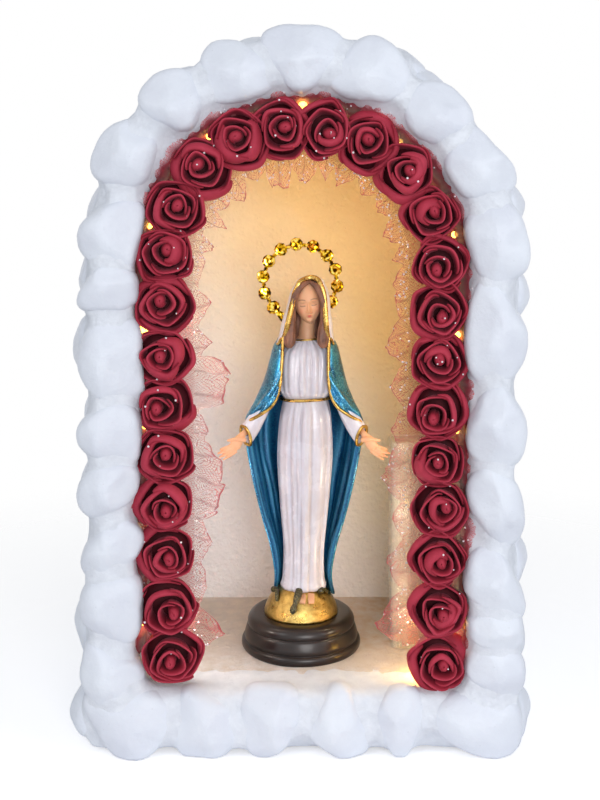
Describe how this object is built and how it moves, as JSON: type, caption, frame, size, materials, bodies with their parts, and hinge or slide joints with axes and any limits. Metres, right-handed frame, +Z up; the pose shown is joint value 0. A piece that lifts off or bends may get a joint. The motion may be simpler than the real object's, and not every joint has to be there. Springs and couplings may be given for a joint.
{
  "type": "table-top devotional grotto",
  "caption": "Small arched plaster grotto faced with white pebbles, a rose and tulle garland with a lamp string round its mouth, and a robed figure on a globe and plinth inside.",
  "frame": {"origin": "middle of the flat underside, where the grotto rests on a table", "axes": "+Z up, the open front faces -Y, +X to the viewer's right"},
  "size_m": [0.237, 0.1473, 0.3589],
  "materials": {
    "plaster": "matt, rough plaster",
    "mortar": "matt, fibrous white mortar",
    "wall_plaster": "matt, fine orange-peel texture",
    "floor_plaster": "matt, granular white",
    "pebble": "tumbled white marble, satin",
    "rose_foam": "soft foam petals",
    "tulle": "sheer net with small beads",
    "lamp_wire": "thin coated wire",
    "lamp_lens": "warm lamp",
    "clear_case": "clear plastic",
    "cell_jacket": "plain printed jacket",
    "plinth_paint": "dark brown lacquer, satin",
    "gold_paint": "gold paint, satin",
    "snake_paint": "dark bronze green, satin",
    "robe_paint": "pearl white",
    "mantle_paint": "metallic turquoise",
    "skin_paint": "painted skin tone",
    "veil_paint": "pearl white",
    "hair_paint": "painted brown",
    "gold_metal": "polished",
    "gold_mirror": "mirror gold"
  },
  "bodies": {
    "root": {"base_block": "plaster", "floor_bed": "floor_plaster", "vault_shell": "wall_plaster", "front_mortar": "mortar", "back_panel": "wall_plaster", "stones_front_left": "pebble", "stones_front_arch": "pebble", "stones_front_right": "pebble", "stones_front_base": "pebble", "stones_outer_left": "pebble", "stones_outer_arch": "pebble", "stones_outer_right": "pebble", "stones_base_left": "pebble", "stones_base_right": "pebble", "roses_left": "rose_foam", "roses_arch": "rose_foam", "roses_right": "rose_foam", "tulle_left": "tulle", "tulle_arch": "tulle", "tulle_right": "tulle", "light_wire": "lamp_wire", "light_lamps": "lamp_lens", "battery_case": "clear_case", "battery_cells": "cell_jacket", "plinth": "plinth_paint", "globe": "gold_paint", "snake": "snake_paint", "figure_robe": "robe_paint", "figure_belt": "gold_paint", "figure_mantle": "mantle_paint", "figure_head": "skin_paint", "figure_veil": "veil_paint", "figure_hair": "hair_paint", "figure_feet": "skin_paint", "sleeve_left": "robe_paint", "sleeve_right": "robe_paint", "hand_left": "skin_paint", "hand_right": "skin_paint", "halo_ring": "gold_metal", "halo_beads": "gold_mirror"}
  },
  "joints": []
}
